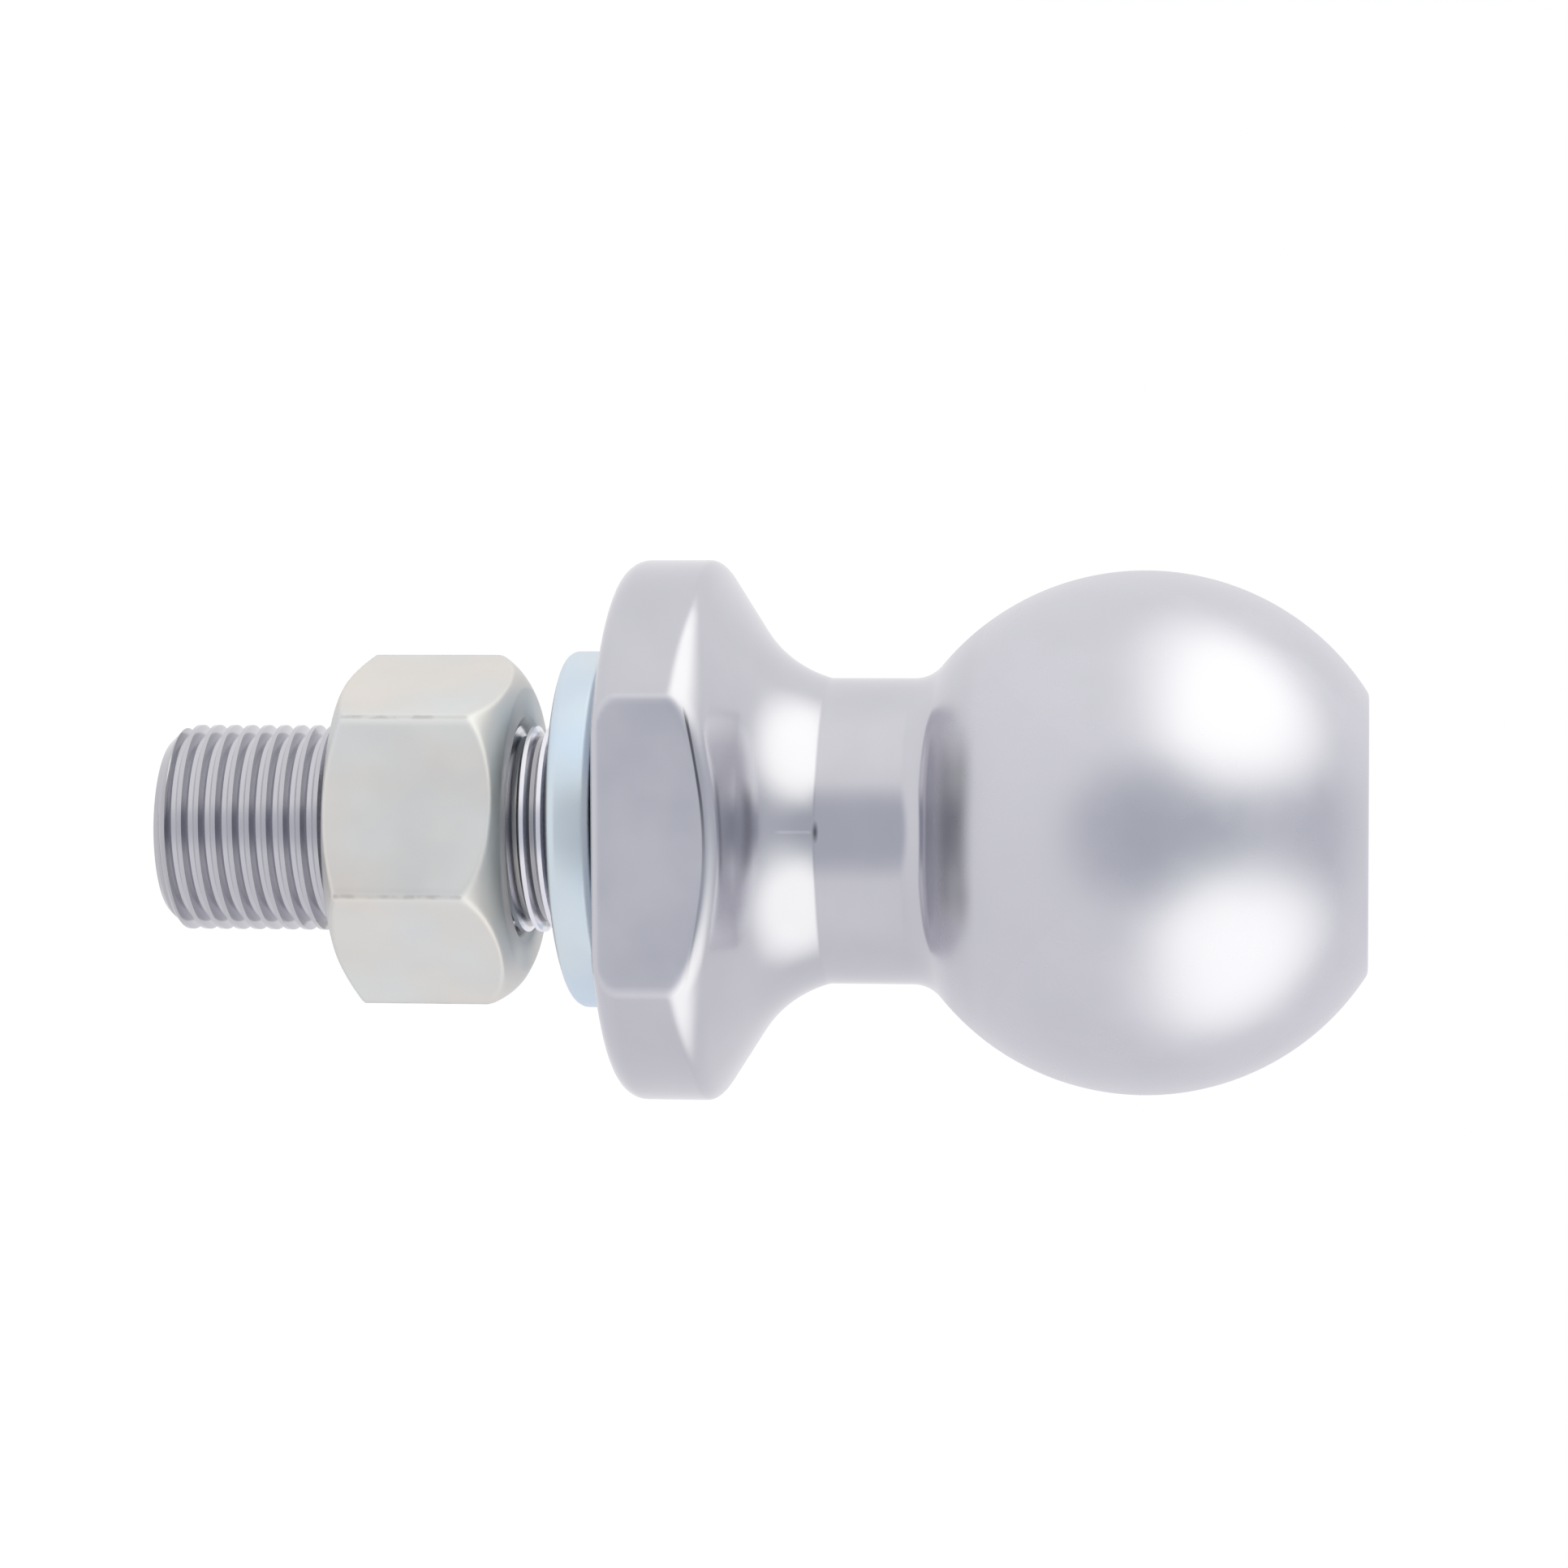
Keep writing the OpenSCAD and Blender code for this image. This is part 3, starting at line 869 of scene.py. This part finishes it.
class TOWBALL_OT_nut(bpy.types.Operator):
    """Build the hexagon nut"""

    bl_idname = "towball.nut"
    bl_label = "Hexagon nut"

    def execute(self, context):
        parts = context.scene.tow_ball_parts
        sizes = parts.nut
        # The corners' softened radius begins a little inside their full reach
        reach = (sizes.across_flats / 2 - sizes.corner_radius) / math.cos(math.pi / 6)
        edge = reach + sizes.corner_radius - 0.01 * MM
        finish = zinc_plate(
            "clear_zinc_plate", list(parts.finishes.zinc), "#FFFCF7", "#FAFEFF", 0.5, edge
        )
        nut = finish_piece("nut", nut_mesh(sizes), finish, "hex_nut")
        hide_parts("hex_nut")
        return {"FINISHED"}


def soft_box(name, place, aim, size, power):
    """A rectangular lamp, turned to its aim."""
    light = bpy.data.lights.new(name, "AREA")
    light.shape = "RECTANGLE"
    light.size, light.size_y = size
    light.energy = power
    lamp = add_object(name, light)
    # The studio already shows the box in the metal, with the soft edge that a real one has
    lamp.visible_glossy = False
    turn = (Vector(aim) - Vector(place)).to_track_quat("-Z", "Y")
    lamp.matrix_world = Matrix.Translation(place) @ turn.to_matrix().to_4x4()


def cosines(angles):
    """The cosine of each angle in degrees."""
    return [math.cos(math.radians(angle)) for angle in angles]


def studio_glow(tree, direction):
    """Colour of the white studio in each direction from the part.

    Two large soft boxes stand on either side of the camera, towards the ball's end. The room
    round the camera and on past the ball is dimmer, and shows as a grey patch in the chrome.
    """
    x, y, z = add_node(tree, "ShaderNodeSeparateXYZ", [direction]).outputs
    share = add_node(tree, MATH, [x, 0.5, 0.5], operation="MULTIPLY_ADD")
    shades = {0: share, 6: linear("#FFFEFF"), 7: linear("#EEEDF1")}
    walls = add_node(tree, MIX, shades, **COLOUR)
    aside = add_node(tree, MATH, [x], operation="ABSOLUTE")
    to_camera = add_node(tree, VECTOR_MATH, [direction, TO_CAMERA], operation="DOT_PRODUCT")
    disc = add_node(tree, RANGE, [to_camera.outputs["Value"], *cosines(DISC_FADE)], **SMOOTH)
    band = add_node(tree, RANGE, [aside, 0.48, 0.2], **SMOOTH)
    above_camera = add_node(tree, RANGE, [z, -0.1, 0.2], **SMOOTH)
    near_side = add_node(tree, RANGE, [y, 0.5, -0.1], **SMOOTH)
    # The wall beyond the ball's flat is lighter
    beyond = add_node(tree, RANGE, [z, 0.5, 0.95, 1.0, 0.8], **SMOOTH)
    for limit in (above_camera, near_side, beyond):
        band = add_node(tree, MATH, [band, limit], operation="MULTIPLY")
    dim = add_node(tree, MATH, [disc, band], operation="MAXIMUM")
    room = add_node(tree, MIX, {0: dim, 6: walls.outputs[2], 7: linear("#C8CBD3")}, **COLOUR)
    boxes = []
    for centre in (UPPER_BOX, LOWER_BOX):
        middle = Vector(centre).normalized()
        facing = add_node(tree, VECTOR_MATH, [direction, middle], operation="DOT_PRODUCT")
        share = [facing.outputs["Value"], *cosines(BOX_FADE)]
        boxes.append(add_node(tree, RANGE, share, **SMOOTH))
    # They reach down to the level of the camera's lens and fade out there
    reach = add_node(tree, RANGE, [z, -0.25, 0.4], **SMOOTH)
    glare = add_node(tree, MATH, boxes, operation="ADD")
    glare = add_node(tree, MATH, [glare, reach], operation="MULTIPLY")
    glare = add_node(tree, MATH, [glare, 0.69], operation="MULTIPLY")
    # The lamps are a little warmer than the walls
    blue = add_node(tree, MATH, [glare, 0.86], operation="MULTIPLY")
    bright = add_node(tree, "ShaderNodeCombineXYZ", {"X": glare, "Y": glare, "Z": blue})
    return add_node(tree, VECTOR_MATH, [room.outputs[2], bright], operation="ADD")


class TOWBALL_OT_stage(bpy.types.Operator):
    """Lay the floor, light the part and place the camera at the photograph's view"""

    bl_idname = "towball.stage"
    bl_label = "Floor, light and camera"

    def execute(self, context):
        scene = context.scene
        paper = list(scene.tow_ball_parts.finishes.backdrop)
        # A pale floor well below the shank's end
        half, level = 2.5, -0.16
        middle = (0.0, 0.0, 0.012)
        mesh = bpy.data.meshes.new("floor")
        corners = [(-half, -half), (half, -half), (half, half), (-half, half)]
        mesh.from_pydata([(x, y, level) for x, y in corners], [], [(0, 1, 2, 3)])
        floor = add_object("floor", mesh)
        material = bpy.data.materials.new("white_paper")
        material.use_nodes = True
        tree = material.node_tree
        tree.nodes.clear()
        matte = add_node(tree, "ShaderNodeBsdfDiffuse", {"Color": [1.0, 1.0, 1.0, 1.0]})
        # To the eye the floor is white paper, and metal shows it as the rest of the studio
        place = add_node(tree, "ShaderNodeTexCoord").outputs["Object"]
        from_part = add_node(tree, VECTOR_MATH, [place, middle], operation="SUBTRACT")
        way = add_node(tree, VECTOR_MATH, [from_part], operation="NORMALIZE")
        ray = add_node(tree, "ShaderNodeLightPath")
        sources = {0: ray.outputs["Is Glossy Ray"], 6: paper, 7: studio_glow(tree, way)}
        shown = add_node(tree, MIX, sources, **COLOUR)
        glow = add_node(tree, "ShaderNodeEmission", {0: shown.outputs[2], "Strength": 1.0})
        seen = ray.outputs["Is Camera Ray"]
        for kind in ("Is Glossy Ray", "Is Transmission Ray"):
            seen = add_node(tree, MATH, [seen, ray.outputs[kind]], operation="MAXIMUM")
        share = add_node(tree, MATH, [seen, 0.94], operation="MULTIPLY")
        blend = add_node(tree, "ShaderNodeMixShader", [share, matte, glow])
        add_node(tree, "ShaderNodeOutputMaterial", [blend])
        mesh.materials.append(material)

        # White to the eye, and the studio to everything that the part reflects
        world = bpy.data.worlds.new("white_room")
        scene.world = world
        world.use_nodes = True
        tree = world.node_tree
        tree.nodes.clear()
        direction = add_node(tree, "ShaderNodeTexCoord").outputs["Generated"]
        shown = add_node(tree, "ShaderNodeLightPath").outputs["Is Camera Ray"]
        seen = add_node(tree, MIX, {0: shown, 6: studio_glow(tree, direction), 7: paper}, **COLOUR)
        light = add_node(tree, "ShaderNodeBackground", {0: seen.outputs[2], "Strength": 1.0})
        add_node(tree, "ShaderNodeOutputWorld", [light])

        for name, way in (("upper_soft_box", UPPER_BOX), ("lower_soft_box", LOWER_BOX)):
            place = Vector(middle) + Vector(way).normalized() * 0.52
            soft_box(name, place, middle, (0.36, 0.36), 0.9)

        # The camera looks level across the shank from 7.55 degrees on the ball's side
        roll, far = math.radians(0.28), 399.6 * MM
        back = Vector(TO_CAMERA)
        right = Vector((0.0, math.sin(CAMERA_LIFT), math.cos(CAMERA_LIFT)))
        up = Vector((-1.0, 0.0, 0.0))
        right, up = (
            right * math.cos(roll) + up * math.sin(roll),
            up * math.cos(roll) - right * math.sin(roll),
        )
        target = Vector((-4.26, 0.0, 14.356)) * MM
        data = bpy.data.cameras.new("camera")
        data.sensor_fit = "HORIZONTAL"
        data.sensor_width = 36.0
        data.lens = data.sensor_width * PHOTO_FOCAL / PHOTO_WIDTH
        data.clip_start = 0.01
        camera = add_object("camera", data)
        turn = Matrix((right, up, back)).transposed().to_4x4()
        camera.matrix_world = Matrix.Translation(target + back * far) @ turn
        scene.camera = camera
        scene.view_settings.view_transform = "Standard"
        return {"FINISHED"}


class TowBallParts(bpy.types.PropertyGroup):
    forging: bpy.props.PointerProperty(type=ForgingSizes)
    thread: bpy.props.PointerProperty(type=ThreadSizes)
    washer: bpy.props.PointerProperty(type=WasherSizes)
    nut: bpy.props.PointerProperty(type=NutSizes)
    finishes: bpy.props.PointerProperty(type=Finishes)


class TOWBALL_PT_panel(bpy.types.Panel):
    """List the tow ball's pieces and their sizes"""

    bl_idname = "TOWBALL_PT_panel"
    bl_label = "Threaded tow ball"
    bl_space_type = "VIEW_3D"
    bl_region_type = "UI"
    bl_category = "Tow ball"

    def draw(self, context):
        parts = context.scene.tow_ball_parts
        for operator, group in (
            ("towball.forging", parts.forging),
            ("towball.washer", parts.washer),
            ("towball.nut", parts.nut),
            ("towball.stage", parts.finishes),
        ):
            box = self.layout.box()
            box.operator(operator)
            for field in group.__annotations__:
                box.prop(group, field)
        box = self.layout.box()
        for field in parts.thread.__annotations__:
            box.prop(parts.thread, field)


CLASSES = (
    ForgingSizes,
    ThreadSizes,
    WasherSizes,
    NutSizes,
    Finishes,
    TowBallParts,
    TOWBALL_OT_forging,
    TOWBALL_OT_washer,
    TOWBALL_OT_nut,
    TOWBALL_OT_stage,
    TOWBALL_PT_panel,
)


def register():
    for item in CLASSES:
        bpy.utils.register_class(item)
    bpy.types.Scene.tow_ball_parts = bpy.props.PointerProperty(type=TowBallParts)


def unregister():
    del bpy.types.Scene.tow_ball_parts
    for item in reversed(CLASSES):
        bpy.utils.unregister_class(item)


def main():
    register()
    bpy.ops.towball.forging()
    bpy.ops.towball.washer()
    bpy.ops.towball.nut()
    bpy.ops.towball.stage()


if __name__ == "__main__":
    main()
